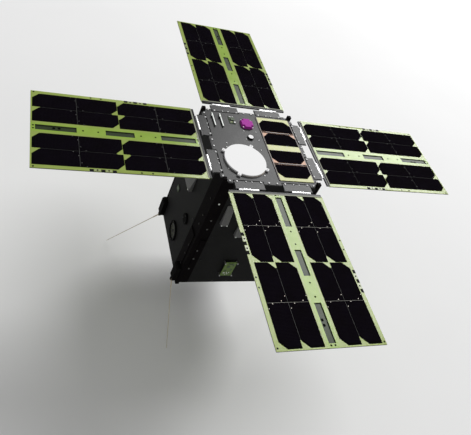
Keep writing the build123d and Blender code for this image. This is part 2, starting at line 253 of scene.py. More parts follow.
coated("rail_black", (0.0036, 0.0030, 0.0033), (0.0080, 0.0068, 0.0072), 0.9, 0.42, 0.002)
coated("panel_grey", 0.012, 0.021, 1.2, 0.50, 0.010)
coated("deck_grey", 0.032, 0.062, 1.1, 0.30, 0.084)
coated("stack_block", 0.10, 0.16, 2.0, 0.60, 0.05)
coated("rest_grey", 0.10, 0.17, 1.0, 0.45, 0.08)
coated("mount_black", 0.004, (0.010, 0.009, 0.009), 0.8, 0.45, 0.002)
coated("fitting_black", 0.004, 0.009, 0.8, 0.45, 0.002)
coated("bracket_grey", 0.024, 0.046, 0.9, 0.28, 0.10)
coated("root_black", 0.005, 0.013, 0.9, 0.22, 0.09)
coated("frame_dark", 0.010, 0.024, 0.9, 0.45, 0.02)
coated("spine_grey", (0.018, 0.030, 0.009), (0.034, 0.048, 0.020), 2.2, 0.30, 0.14)
coated("screw_black", 0.008, 0.020, 0.5, 0.35, 0.10)

# %% [markdown]
# Machined aluminium shows the fine parallel lines of the cutter. Noise that is stretched
# many times along one axis makes such lines, and they change the gloss more than the colour.
# %% Machined metal
LINE_SIZE, LINE_DEPTH = 0.5, 0.004  # millimetres


def machined(name, metal, stretch, rough=0.3):
    """Bare metal with fine lines along one axis."""
    paint = Paint(name)
    lines = paint.noise(LINE_SIZE, stretch=stretch)
    cloud = paint.noise(25)
    paint.shade({
        "Base Color": paint.blend(metal, 0.9, lines * 0.25),
        "Roughness": rough + 0.15 * lines + 0.08 * cloud,
        "Metallic": 1.0,
        "Normal": paint.bump(lines, LINE_DEPTH),
    })


machined("hinge_metal", 0.55, (0.05, 1, 1))
machined("polished_metal", 0.85, (1, 1, 1), rough=0.18)
machined("rod_steel", (0.46, 0.39, 0.26), (1, 1, 0.05), rough=0.35)

# %% [markdown]
# ## Circuit boards
# The wings are glass-fibre boards under a yellow-green varnish. The woven glass shows through
# as a fine square pattern, so two sine waves that cross make the weave, and a little noise
# keeps it from looking printed. The varnish is glossy: seen towards the lamp it turns pale,
# and seen away from it the green is deep. The land over the spine has a second coat, so the
# board is a little paler outside it.
# %% Woven board
BUS_REACH = 0.13  # past this far out along an axis, a point is on a wing, in metres
SPINE_LAND = 0.012  # half the width of the land over a wing's spine, in metres
WEAVE_PITCH, WEAVE_DEPTH = 1.0, 0.002  # millimetres


def wing_axes(paint):
    """The coordinates across a wing and along it, in metres."""
    x, y, _ = paint.axes()
    on_front_or_back = abs(y) > BUS_REACH
    on_a_side = 1 - on_front_or_back
    return x * on_front_or_back + y * on_a_side, y * on_front_or_back + x * on_a_side


def weave(paint):
    """The height of a plain weave in the XY plane."""
    x, y, _ = paint.axes()
    turns = 2 * math.pi / (WEAVE_PITCH * MM)
    return (x * turns).math("SINE") * (y * turns).math("SINE") * 0.5 + 0.5


def laminate(name, dark, light, rough, shine, once=None):
    """A varnished board with its weave just visible. once: its two colours beside the land."""
    paint = Paint(name)
    threads = weave(paint)
    cloud = paint.noise(18, detail=3)
    share = cloud * 0.7 + threads * 0.3
    varnish = paint.blend(dark, light, share)
    if once:
        across, _ = wing_axes(paint)
        varnish = paint.blend(varnish, paint.blend(*once, share), abs(across) > SPINE_LAND)
    paint.shade({
        "Base Color": varnish,
        "Roughness": rough + 0.06 * cloud,
        "Specular IOR Level": shine,
        "Normal": paint.bump(threads, WEAVE_DEPTH),
    })


BESIDE_THE_LAND = (0.214, 0.285, 0.055), (0.321, 0.396, 0.104)
laminate("board_green", (0.20, 0.31, 0.040), (0.30, 0.43, 0.075), 0.12, 0.20, BESIDE_THE_LAND)
laminate("board_bright", (0.070, 0.125, 0.028), (0.145, 0.215, 0.058), 0.4, 0.15)
laminate("board_dark", (0.05, 0.075, 0.045), (0.10, 0.13, 0.08), 0.45, 0.15)
laminate("board_edge", (0.070, 0.075, 0.045), (0.11, 0.115, 0.07), 0.5, 0.05)

# %% [markdown]
# The deck's solar board is pale yellow-green at its ends and along its middle. Bare copper
# shows in the corners between the two cells of each half, and both long edges are dark. The
# place on the board picks the colour.
# %% Deck board
COPPER_MIDDLE, COPPER_REACH = 0.0434, 0.0097  # along Y, in metres
DARK_EDGES = (0.0206, 0.1014)  # along X, in metres


def deck_board():
    paint = Paint("deck_board")
    x, y, _ = paint.axes()
    copper_share = abs(abs(y) - COPPER_MIDDLE) < COPPER_REACH
    edge_share = (x < DARK_EDGES[0]) + (x > DARK_EDGES[1])
    cloud = paint.noise(10)
    pale = paint.blend((0.38, 0.40, 0.13), (0.54, 0.55, 0.24), cloud)
    copper = paint.blend((0.34, 0.14, 0.06), (0.58, 0.29, 0.15), cloud)
    both = paint.blend(pale, copper, copper_share)
    paint.shade({
        "Base Color": paint.blend(both, (0.035, 0.014, 0.007), edge_share),
        "Roughness": 0.20 + 0.10 * cloud,
        "Specular IOR Level": 0.15,
        "Normal": paint.bump(weave(paint), WEAVE_DEPTH),
    })


deck_board()

# %% [markdown]
# ## Solar cells
# A space solar cell is almost black, and its cover glass is coated so that it hardly
# reflects. Close up, hair-thin silver fingers run across it, a few to the centimetre. They are
# a repeating stripe: the remainder of the coordinate over the pitch, compared with a width.
# They lie across each cell, so the front and back wings stripe along Y and the rest along X.
# %% Solar cell
FINGER_PITCH, FINGER_W = 2.5 * MM, 0.12 * MM
FINGER_SHARE = 0.06  # how much of the silver shows through the cover glass


def solar_cell():
    paint = Paint("solar_cell")
    _, along = wing_axes(paint)
    fingers = along % FINGER_PITCH < FINGER_W
    cloud = paint.noise(30)
    cell = paint.blend((0.0026, 0.0020, 0.0022), (0.0042, 0.0030, 0.0060), cloud)
    paint.shade({
        "Base Color": paint.blend(cell, 0.25, fingers * FINGER_SHARE),
        "Roughness": 0.30 + 0.08 * cloud,
        "Specular IOR Level": 0.0001,
    })


solar_cell()

# %% [markdown]
# ## The smaller finishes
# The patch antenna is white ceramic, the camera hood is dyed magenta, the pads are rubber, and
# tabs, wires and screws are bare or dull metal. Each gets a little variation, because an even
# colour looks unreal. One function makes them all: soft noise between two colours.
# %% Ceramic, dye, rubber and solder
def plain_finish(name, dark, light, size, rough, shine, metal):
    """A finish between two colours, with soft noise in its colour, gloss and surface."""
    paint = Paint(name)
    cloud = paint.noise(size, detail=3)
    paint.shade({
        "Base Color": paint.blend(dark, light, cloud),
        "Roughness": rough + 0.12 * cloud,
        "Metallic": metal,
        "Specular IOR Level": shine,
        "Normal": paint.bump(cloud, 0.005),
    })


# Two colours, size of the clouds in millimetres, roughness, shine and metal.
PLAIN_FINISHES = {
    "patch_white": (0.84, 0.90, 1.5, 0.50, 0.02, 0),
    "hood_magenta": ((0.26, 0.022, 0.22), (0.48, 0.060, 0.42), 2.5, 0.45, 0.04, 0),
    "pad_rubber": (0.004, 0.009, 1.0, 0.7, 0.1, 0),
    "fin_white": ((0.80, 0.86, 0.80), (0.92, 0.94, 0.92), 3, 0.4, 0.3, 0),
    "solder": (0.60, 0.80, 2, 0.35, 0.3, 0),
    "screw_steel": (0.50, 0.72, 1.2, 0.30, 0.3, 0.2),
    # On the wings, tab_metal and dim_tab, the bright, dim and faint wires, and pale_pad and dim_pad are lit and
    # shaded copies: painted light and shade.
    "tab_metal": ((0.36, 0.34, 0.30), (0.54, 0.51, 0.45), 2, 0.38, 0.3, 0.6),
    "dim_tab": (0.11, 0.20, 2, 0.38, 0.1, 0),
    "bright_wire": ((0.11, 0.105, 0.095), (0.33, 0.32, 0.29), 7, 0.38, 0.3, 0.3),
    "dim_wire": (0.06, 0.20, 7, 0.4, 0.1, 0),
    "faint_wire": (0.010, 0.12, 6, 0.4, 0.05, 0),
    "dim_screw": (0.06, 0.12, 1, 0.4, 0.3, 0),
    "pale_pad": ((0.56, 0.60, 0.44), (0.70, 0.74, 0.58), 2, 0.4, 0.05, 0),
    "dim_pad": ((0.24, 0.28, 0.12), (0.34, 0.39, 0.19), 2, 0.4, 0.05, 0),
    # A pale finish for the sloped edge beside a hinge barrel.
    "pale_edge": (0.30, 0.48, 2, 0.4, 0.1, 0),
    "clamp_strip": ((0.20, 0.21, 0.16), (0.32, 0.33, 0.26), 3, 0.4, 0.1, 0),
    "chip_black": (0.004, 0.009, 1, 0.5, 0.03, 0),
    "bed_black": (0.0025, 0.0045, 2, 0.6, 0.0, 0),
    "brown_strip": ((0.022, 0.009, 0.004), (0.050, 0.022, 0.010), 3, 0.5, 0.1, 0),
    "lens_green": ((0.014, 0.016, 0.008), (0.028, 0.031, 0.015), 12, 0.20, 0.02, 0),
}
for name, row in PLAIN_FINISHES.items():
    plain_finish(name, *row)

# %% [markdown]
# The patch antenna's disc stands on a round of copper foil. A narrow ring of the foil shows at
# the disc's foot, painted black towards the left as painted shade, and further out the round is
# painted a paler grey than the deck, as painted light that offsets the disc's shadow. Both
# follow from the place on the round: its distance from the middle tells foil from coat, and its
# place across tells how much painted shade the foil takes.
# %% Foil round the patch antenna
PATCH_X, PATCH_Y = -0.0475, -0.0490  # middle of the patch antenna, in metres
FOIL_REACH = 0.0476  # radius at which the coat begins, in metres
# The foil's painted shade: wholly black left of the first, and none right of the second.
SHADE_ACROSS = (-0.036, 0.004)  # across from the middle: wholly black, and bare, in metres


def foil_rim():
    paint = Paint("copper")
    x, y, _ = paint.axes()
    across, along = x - PATCH_X, y - PATCH_Y
    reach = (across * across + along * along).math("SQRT")
    cloud = paint.noise(2, detail=3)
    bare = paint.blend((0.24, 0.17, 0.11), (0.40, 0.31, 0.21), cloud)
    # Painted shade: the foil turns black towards the left.
    shaded_foil = paint.blend(0.004, bare, paint.slope(across, *SHADE_ACROSS))
    # Painted light: the coat is paler than the deck, to offset the disc's shadow.
    lit_coat = paint.blend(0.15, 0.24, cloud)
    paint.shade({
        "Base Color": paint.blend(shaded_foil, lit_coat, reach > FOIL_REACH),
        "Roughness": 0.36 + 0.10 * cloud,
        "Specular IOR Level": 0.08,
        "Normal": paint.bump(cloud, 0.003),
    })


foil_rim()
print("finishes:", len(finishes))

# %% [markdown]
# ## Finishing a piece
# Every piece ends the same way: it is scaled to metres, its flat faces stay flat and its
# round ones are shaded smooth. A narrow bevel would pull the shading of the wide face beside
# it into a dome, so a Weighted Normal modifier gives the wide faces the say. Then the piece
# is told which body it rides on and which finish of the record it takes.
# %% From bmesh to a finished piece
SMOOTH_BELOW = math.radians(38)


def as_mesh(bm, name="template"):
    """A bmesh becomes a mesh and is let go."""
    mesh = bpy.data.meshes.new(name)
    bm.to_mesh(mesh)
    bm.free()
    return mesh


def in_scene(name, data):
    """A new object, which the scene shows."""
    thing = bpy.data.objects.new(name, data)
    bpy.context.scene.collection.objects.link(thing)
    return thing


def publish(bm, name, body, slot, materials=None, replaced=()):
    """Makes a piece of a bmesh that was drawn in millimetres."""
    bmesh.ops.scale(bm, vec=(MM, MM, MM), verts=bm.verts)
    mesh = as_mesh(bm, name)
    mesh.shade_smooth()
    mesh.set_sharp_from_angle(angle=SMOOTH_BELOW)
    for material in materials or [slot]:
        mesh.materials.append(finishes[material])
    piece = in_scene(name, mesh)
    weighted = piece.modifiers.new("weighted", "WEIGHTED_NORMAL")
    weighted.keep_sharp = True
    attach(piece, body)
    if replaced:
        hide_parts(*replaced)
    print("piece:", name, "with", len(mesh.polygons), "faces, on", body)

# %% [markdown]
# ## Rounded solids
# A CAD solid has knife edges, and a real edge is always a little round, which is what
# catches the light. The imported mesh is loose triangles, so a copy is merged first, flat
# faces are joined again, and only the sharp edges are bevelled. The copy then stands in for
# the solid.
# %% Bevel a copy of a solid
SLOT_OF = {row["node"]: row["material_slot"] for row in frame["record"]["subparts"]}
bodies = frame["record"]["behaviour"]["bodies"]
BODY_OF = {node: body for body, members in bodies.items() for node in members}
FLAT_BELOW, SHARP_ABOVE = math.radians(1), math.radians(40)
SAME_POINT = 0.002  # millimetres


def soften(bm, edges, width, segments):
    """Rounds edges with a bevel."""
    bmesh.ops.bevel(
        bm, geom=edges, offset=width, offset_type="OFFSET", affect="EDGES",
        segments=segments, profile=0.5, material=-1, clamp_overlap=True,
    )


def rounded(node, width, segments=2):
    """A merged copy of a solid in millimetres, with its sharp edges bevelled."""
    bm = bmesh.new()
    bm.from_mesh(frame["nodes"][node].data)
    bmesh.ops.scale(bm, vec=(1 / MM, 1 / MM, 1 / MM), verts=bm.verts)
    bmesh.ops.remove_doubles(bm, verts=bm.verts, dist=SAME_POINT)
    bmesh.ops.dissolve_limit(bm, angle_limit=FLAT_BELOW, verts=bm.verts, edges=bm.edges)
    closed = [edge for edge in bm.edges if len(edge.link_faces) == 2]
    sharp = [edge for edge in closed if edge.calc_face_angle() > SHARP_ABOVE]
    soften(bm, sharp, width, segments)
    return bm


def dress(node, width, segments=2, materials=None, pick=None):
    """Replaces a solid by its rounded copy. pick gives a face the number of its material."""
    bm = rounded(node, width, segments)
    if pick:
        for face in bm.faces:
            face.material_index = pick(face)
    publish(bm, node + "_dressed", BODY_OF[node], SLOT_OF[node], materials, [node])

# %% [markdown]
# Most solids only need their edges rounded. A table gives the start of their names and the
# width of the bevel in millimetres: wide on a rail, and a hair on a cell.
# %% Solids that are only rounded
ROUNDED = {
    "rail": 0.6, "side_panel": 0.5, "deck_plate": 0.3, "antenna_mount": 0.6, "wing_rest": 0.7,
    "deck_solar_board": 0.25, "camera_hood": 0.5, "patch_base": 0.2,
    "wing_pads": 0.4, "port_rings": 0.5, "port_lenses": 0.4, "circuit_module": 0.25,
    "module_posts": 0.2, "wing_cells": 0.08, "deck_solar_cells": 0.08,
}
for start, width in ROUNDED.items():
    for node in sorted(frame["nodes"]):
        if node.startswith(start):
            dress(node, width)
dress("patch_antenna", 0.7, segments=3)
dress("base_plate", 0.6, materials=["frame_dark"])
dress("side_sensor", 0.3, materials=["board_dark"])

# %% [markdown]
# Some solids carry two or more finishes. A hinge bracket is a grey plate with a polished
# barrel and a pale sloped edge beside it, and its other slopes are painted black as painted
# shade. The wing's frame is black with polished knuckles and a spine plate that shows in the
# board's windows. The board is dark along its cut edges, and on the walls of its windows this
# dark also stands in as painted shade. A fin is white along its edge, and its two faces are
# painted deck grey as painted shade. The test connector is a dark plug with black walls on a
# dull board. The place or the slope of a face tells which finish it takes.
# %% More finishes on one solid
BARREL_FROM, SLOPE_FROM = 128.2, 126.9  # reach of a bracket's barrel and sloped edge
KNUCKLES_TO = 133.2  # reach of the wing's knuckles and their tabs
SLOPING = (0.3, 0.95)  # upright part of the normal of a sloping face
PLUG_FOOT = 1.3  # height of the plug's foot over the deck


def face_reach(face):
    """How far a face is from the middle of the bus, along X or Y."""
    centre = face.calc_center_median()
    return max(abs(centre.x), abs(centre.y))


def bracket_finish(face):
    """The barrel is polished, the sloped edge beside it is pale, and other slopes are painted black as painted
    shade.
    """
    if face_reach(face) > BARREL_FROM:
        return 1
    if not SLOPING[0] < face.normal.z < SLOPING[1]:
        return 0
    return 2 if face_reach(face) > SLOPE_FROM else 3


def frame_finish(face):
    if face_reach(face) < KNUCKLES_TO:
        return 1
    return 2 if face_reach(face) > -wing_root + 1 else 0


def wall_finish(face):
    """1 for an upright face, and 0 for a level one."""
    return int(abs(face.normal.z) < SLOPING[0])


def plug_finish(face):
    """The plug's walls are black, and its top is as dull as the board."""
    return wall_finish(face) if face.calc_center_median().z > z_top + PLUG_FOOT else 0


# Solids with several finishes: start of the name, bevel, finishes and what picks one.
# chip_black is painted shade on a bracket's other slopes.
bracket_finishes = ["bracket_grey", "polished_metal", "pale_edge", "chip_black"]
MIXED = [
    ("hinge_brackets", 0.3, bracket_finishes, bracket_finish),
    ("wing_frame", 0.25, ["root_black", "hinge_metal", "spine_grey"], frame_finish),
    # The board's cut edges are dark, and on the windows' walls this dark also stands in as painted shade.
    ("wing_board", 0.2, ["board_green", "board_edge"], wall_finish),
    # A fin's upright faces take deck grey as painted shade.
    ("antenna_fins", 0.25, ["fin_white", "deck_grey"], wall_finish),
    ("test_connector", 0.3, ["board_dark", "chip_black"], plug_finish),
]
for start, width, mixed_finishes, pick in MIXED:
    for node in sorted(frame["nodes"]):
        if node.startswith(start):
            dress(node, width, materials=mixed_finishes, pick=pick)

# %% [markdown]
# The solids themselves get a finish too, for the few that no dressed copy replaces.
# %% Finishes of the solids
for node, solid in frame["nodes"].items():
    solid.data.materials.clear()
    solid.data.materials.append(finishes.get(SLOT_OF[node], finishes["frame_dark"]))
print("solids with a finish:", len(frame["nodes"]))

# %% [markdown]
# ## The sun sensor
# A sun sensor is a black barrel with a white diffusing window let into its top. The rounded
# barrel is a copy of the solid, and its top face is inset, sunk a little and painted white.
# %% Sun sensor
def highest(bm):
    """The highest face, such as the round top of a screw."""
    return max(bm.faces, key=lambda face: face.calc_center_median().z)


def new_verts(result):
    """The vertices that an operator made."""
    return [item for item in result["geom"] if isinstance(item, bmesh.types.BMVert)]


def sink(bm, face, depth):
    """Pushes a face in, with a wall round it, and gives its corners."""
    floor = new_verts(bmesh.ops.extrude_face_region(bm, geom=[face]))
    bmesh.ops.delete(bm, geom=[face], context="FACES_KEEP_BOUNDARY")
    bmesh.ops.translate(bm, vec=(0, 0, -depth), verts=floor)
    return floor


def sun_sensor(edge=0.4, rim=0.8, depth=0.15):
    bm = rounded("sun_sensor", edge)
    window = highest(bm)
    bmesh.ops.inset_region(bm, faces=[window], thickness=rim, use_even_offset=True)
    floor = sink(bm, window, depth)
    for face in bm.faces:
        face.material_index = int(all(vert in floor for vert in face.verts))
    sensor_finishes = ["fitting_black", "patch_white"]
    publish(bm, "sun_sensor_dressed", "bus", "sensor_button", sensor_finishes, ["sun_sensor"])


sun_sensor()

# %% [markdown]
# ## Screws
# Cap screws hold the deck, the brackets and the panels. One head is modelled: a short
# cylinder, its rim rounded, with a hexagonal socket sunk into it. The socket starts as an
# inset of the round top, whose corners are then pulled onto a hexagon. Copies of this one
# mesh are stamped wherever a table says.
# %% One screw head
BIG_HEAD, SMALL_HEAD = (4.0, 1.4, 2.0), (2.8, 0.9, 1.3)  # width, height, key
RIM_ROUND, INSET_LESS, SOCKET_DEPTH = 0.25, 0.3, 0.7  # shares of a head's height


def hexagon_radius(angle, across):
    """Distance from the middle to the edge of a hexagon of a width over its flats."""
    sector = math.radians(60)
    return across / 2 / math.cos(angle % sector - sector / 2)


def cylinder(d, h, segments=20):
    """A short cylinder on z = 0."""
    bm = bmesh.new()
    seat = Matrix.Translation((0, 0, h / 2))
    bmesh.ops.create_cone(
        bm, cap_ends=True, segments=segments, radius1=d / 2, radius2=d / 2, depth=h, matrix=seat
    )
    return bm


def screw_head(d, h, key):
    """A cap screw's head on z = 0, with a socket of a width over its flats."""
    bm = cylinder(d, h, segments=18)
    soften(bm, highest(bm).edges[:], h * RIM_ROUND, 2)
    top = highest(bm)
    width = (d - key) / 2 - h * INSET_LESS
    bmesh.ops.inset_region(bm, faces=[top], thickness=width, use_even_offset=True)
    for vert in top.verts:
        angle = math.atan2(vert.co.y, vert.co.x)
        reach = hexagon_radius(angle, key)
        vert.co.x, vert.co.y = reach * math.cos(angle), reach * math.sin(angle)
    sink(bm, top, SOCKET_DEPTH * h)
    bmesh.ops.recalc_face_normals(bm, faces=bm.faces)
    return as_mesh(bm)


def stamp(bm, template, places, material=0, side="front"):
    """Adds a copy of the template, which is still in millimetres, at each place on a side."""
    for place in places:
        first_vert, first_face = len(bm.verts), len(bm.faces)
        bm.from_mesh(template)
        bm.verts.ensure_lookup_table()
        bmesh.ops.transform(bm, matrix=turned(side) @ place, verts=bm.verts[first_vert:])
        if material:
            bm.faces.ensure_lookup_table()
            for face in bm.faces[first_face:]:
                face.material_index = material


big_screw, small_screw = screw_head(*BIG_HEAD), screw_head(*SMALL_HEAD)
print("a screw head has", len(big_screw.polygons), "faces")

# %% [markdown]
# ## The deck's hardware
# Eight screws run along each edge of the deck. Four of them sit on the hinge brackets, and
# each bracket has two smaller ones between. Smaller screws hold the hood's foot, surround the
# sun sensor and pin the patch antenna's ears. A table of places per pattern keeps this short.
# %% Deck screws
RIM_OUT = 109.3  # from the middle of the deck to a row of screws
RIM_BIG, RIM_SMALL = (9.5, 28.2, 81.8, 97.0), (48.4, 61.6)
SCREW_TURN = 15

hood = middle_mm("camera_hood")
HOOD_FOOT_H, HOOD_SCREWS = 2.5, 11.6
SENSOR_SCREWS = (-9.7, 34.4, 15.0, 13.3)  # middle and half spacing
patch, patch_top = middle_mm("patch_antenna"), box_mm("patch_antenna")[1].z
EAR_REACH, EARS, FIRST_EAR = 50.5, 4, math.radians(60)
# Single small screws on the deck, and black discs that stand for holes, painted as their shade.
DECK_SINGLES = [(-77.0, 3.0), (-79.5, -9.0), (1.7, -10.8), (-91.0, -75.0), (-12.8, -88.6)]
DECK_HOLE_SHADES = [(-76.0, -88.0), (-11.4, -81.4), (-43.0, 70.5)]


def corners(x, y, dx, dy):
    """Four spots round a middle."""
    return [(x + sx * dx, y + sy * dy) for sx in (-1, 1) for sy in (-1, 1)]


def ring(x, y, reach, count, start):
    """Evenly spaced spots round a middle, the first of them turned by start."""
    angles = [start + 2 * math.pi * index / count for index in range(count)]
    return [(x + reach * math.cos(angle), y + reach * math.sin(angle)) for angle in angles]


def at_height(z, spots, turn=SCREW_TURN):
    return [upright(x, y, z, turn) for x, y in spots]


def rim_rows(bm, big, small, turn):
    """Stamps both sizes in their rows along the four edges of the deck."""
    for side in SIDES:
        for way in (-1, 1):
            for template, alongs in ((big, RIM_BIG), (small, RIM_SMALL)):
                places = at_height(z_top, [(way * along, -RIM_OUT) for along in alongs], turn)
                stamp(bm, template, places, side=side)


bm = bmesh.new()
rim_rows(bm, big_screw, small_screw, SCREW_TURN)
hood_corners = corners(hood.x, hood.y, HOOD_SCREWS, HOOD_SCREWS)
stamp(bm, small_screw, at_height(z_top + HOOD_FOOT_H, hood_corners))
stamp(bm, small_screw, at_height(z_top, corners(*SENSOR_SCREWS) + DECK_SINGLES))
publish(bm, "deck_screws", "bus", "hinge_metal", ["screw_steel"])

bm = bmesh.new()
ears = ring(patch.x, patch.y, EAR_REACH, EARS, FIRST_EAR)
stamp(bm, small_screw, at_height(patch_top, ears, 0))
publish(bm, "ear_screws", "bus", "patch_white")

# %% [markdown]
# Each screw sits in a dark ring: the shadow of its counterbore. A thin washer shape in
# black does this without cutting the deck.
# %% Dark rings under the screws
def washer(outer, inner, thick, segments=20):
    """A thin flat ring on z = 0."""
    bm = bmesh.new()
    bmesh.ops.create_circle(bm, segments=segments, radius=inner)
    rim = new_verts(bmesh.ops.extrude_edge_only(bm, edges=bm.edges[:]))
    bmesh.ops.scale(bm, vec=(outer / inner, outer / inner, 1), verts=rim)
    bmesh.ops.solidify(bm, geom=bm.faces[:], thickness=thick)
    low = min(vert.co.z for vert in bm.verts)
    bmesh.ops.translate(bm, vec=(0, 0, -low), verts=bm.verts)
    bmesh.ops.recalc_face_normals(bm, faces=bm.faces)
    return as_mesh(bm)


BIG_RING, SMALL_RING = (2.8, 1.8, 0.12), (2.1, 1.2, 0.12)  # radii and height
HOLE_SPOT = (2.8, 0.1)  # width and height
big_ring, small_ring = washer(*BIG_RING), washer(*SMALL_RING)

bm = bmesh.new()
rim_rows(bm, big_ring, small_ring, 0)
stamp(bm, small_ring, at_height(z_top, corners(*SENSOR_SCREWS) + DECK_SINGLES))
# Black discs where the deck has holes: painted shade.
stamp(bm, as_mesh(cylinder(*HOLE_SPOT)), at_height(z_top, DECK_HOLE_SHADES))
publish(bm, "deck_rings", "bus", "fitting_black")

# %% [markdown]
# ## Small blocks
# Chips, tabs, strips and connectors are all thin boxes with softened edges. A unit cube is
# stretched to its place and bevelled, and several of them are gathered in one piece.
# %% A softened block
SOFTEST = 0.3  # widest bevel, as a share of a block's thinnest side


def add_block(bm, x0, x1, y0, y1, z0, z1, material=0, place=None, soft=0.12):
    """Adds a box between two corners, bevelled by soft, in a place of its own."""
    size = Vector((abs(x1 - x0), abs(y1 - y0), abs(z1 - z0)))
    centre = Vector(((x0 + x1) / 2, (y0 + y1) / 2, (z0 + z1) / 2))
    one = bmesh.new()
    bmesh.ops.create_cube(one, size=1)
    bmesh.ops.scale(one, vec=size, verts=one.verts)
    soften(one, one.edges[:], min(soft, SOFTEST * min(size)), 1)
    bmesh.ops.translate(one, vec=centre, verts=one.verts)
    mesh = as_mesh(one)
    stamp(bm, mesh, [place or Matrix.Identity(4)], material)
    bpy.data.meshes.remove(mesh)


def add_parts(bm, table, z=0, place=None):
    """Adds the blocks of a table: middle, width and length, height above z, finish."""
    for x, y, w, length, h, finish in table:
        edges = (x - w / 2, x + w / 2, y - length / 2, y + length / 2)
        add_block(bm, *edges, z, z + h, finish, place)

# %% [markdown]
# A hinge bracket lies in a pocket of the deck, and its inner edge is cut back, so that a line of
# shade runs beside it. A thin black strip on that edge is painted shade that shows it.
# %% Painted shade beside the brackets
SHADE_SPANS, SHADE_OUT = ((-88.2, -21.8), (21.8, 88.2)), (106.5, 107.8)  # along an edge, and out to it
SHADE_H, SHADE_SOFT = 0.06, 0.01

bm = bmesh.new()
for side in SIDES:
    for x0, x1 in SHADE_SPANS:
        box = (x0, x1, -SHADE_OUT[1], -SHADE_OUT[0], z_top, z_top + SHADE_H)
        add_block(bm, *box, 0, turned(side), SHADE_SOFT)
# Black strips of painted shade beside the brackets.
publish(bm, "bracket_slit_shade", "bus", "fitting_black", ["bed_black"])

# %% [markdown]
# ## The test connector's parts
# The little board beside the hood carries a dark plug and a handful of tinned contacts. They
# are scattered, so a table gives each one's place, size and finish.
# %% Connector parts
CONNECTOR_FINISHES = ["patch_white", "chip_black", "dim_pad"]
CONNECTOR_BOARD_T = 1.2
CONNECTOR_PARTS = [
    (-48.6, 91.0, 3.6, 2.2, 0.7, 0),
    (-42.4, 91.4, 2.8, 2.0, 0.7, 0),
    (-50.8, 88.0, 2.2, 2.6, 0.5, 1),
    (-42.4, 87.4, 4.0, 1.4, 0.5, 1),
    (-41.6, 79.0, 1.4, 5.0, 0.8, 1),
    (-48.2, 73.6, 5.6, 3.2, 0.6, 2),
    (-49.6, 74.4, 1.4, 1.2, 0.9, 0),
    (-41.0, 72.4, 3.8, 3.8, 1.6, 0),
    (-44.8, 71.0, 2.0, 1.8, 0.8, 1),
]

bm = bmesh.new()
add_parts(bm, CONNECTOR_PARTS, z_top + CONNECTOR_BOARD_T)
publish(bm, "connector_parts", "bus", "board_bright", CONNECTOR_FINISHES)

# %% [markdown]
# ## The deck's solar wiring
# A brown strip with a bare wire on it joins the two cells of each half, and short tabs reach
# from the cells onto the pale bar in the middle.
# %% Wiring of the deck's cells
STRIP_Y, STRIP_INSET = 49.85, 2.8  # from the middle of the board, and from its ends
BROWN_STRIP, BARE_WIRE = (4.6, 0.15, 1), (0.8, 0.4, 0)  # width, height and finish
WIRE_ALONG, WIRE_ASIDE, WIRE_SHORTER = 1, 0.9, 18  # against the strip under it
TAB_Y, TAB_SIZE = 7.1, (3.4, 1.3, 0.35, 0)  # width, length, height and finish
TAB_INSETS, TAB_SHIFTS = (14, 12), (-8, 10)  # from the strip's ends, and from its middle

low, high = box_mm("deck_solar_board")
x0, x1 = low.x + STRIP_INSET, high.x - STRIP_INSET
middle, length = (x0 + x1) / 2, x1 - x0
tab_xs = [x0 + TAB_INSETS[0], *(middle + shift for shift in TAB_SHIFTS), x1 - TAB_INSETS[1]]
bm = bmesh.new()
for way in (-1, 1):
    y = way * STRIP_Y
    brown = (middle, y, length, *BROWN_STRIP)
    bare = (middle + WIRE_ALONG, y + WIRE_ASIDE, length - WIRE_SHORTER, *BARE_WIRE)
    add_parts(bm, [brown, bare] + [(x, way * TAB_Y, *TAB_SIZE) for x in tab_xs], high.z)
publish(bm, "deck_wiring", "bus", "hinge_metal", ["solder", "brown_strip"])

# %% [markdown]
# ## The wings' wiring
# Tabs, film and wires all follow from the grid of the cells, so the grid is written once, and
# loops place the rest. They are drawn on the front wing, at distances from its root, and
# turned to the other three.
# %% Cell grid of a wing
CELL_W, CELL_L, CROP = 40.0, 80.0, 13.0
COLUMNS = (-98.5, -56.3, 16.3, 58.5)  # left edges
ROWS = ((2.0, 1), (84.0, -1), (167.0, 1), (249.0, -1))  # near edge, clipped side
BED_H, WIRE_H, TAB_H = 0.12, 0.24, 0.48  # tops above the board
print("cells on a wing:", len(COLUMNS) * len(ROWS))

# %% [markdown]
# A cell's clipped corner holds a diode. A black bed fills the slit between them, and two short
# tabs bridge it. The slit runs at 45 degrees, so its parts are drawn straight, in a place that
# is turned.
# %% Slits and tabs
SLIT_L, SLIT_W, SLIT_SHIFT = 18.6, 1.4, 0.5
SLIT_TABS, SLIT_TAB_L = (-6.6, 6.6), 1.6


def slit_middle(x0, near, side):
    """The middle of the slit between a cell and its diode, on the front wing."""
    corner_x = x0 + CELL_W if side > 0 else x0
    corner_y = wing_root - near - (CELL_L if side > 0 else 0)
    return corner_x - side * CROP / 2, corner_y + side * CROP / 2


def wing_slits(bm):
    """A black bed in every slit, and a tab near each of its ends."""
    for near, side in ROWS:
        for x0 in COLUMNS:
            x, y = slit_middle(x0, near, side)
            place, shift = upright(x, y, board_top, 45), -side * SLIT_SHIFT
            add_parts(bm, [(0, shift, SLIT_L, SLIT_W, BED_H, 1)], 0, place)
            tabs = [(x, shift, SLIT_TAB_L, SLIT_W, TAB_H - BED_H, 0) for x in SLIT_TABS]
            add_parts(bm, tabs, BED_H, place)

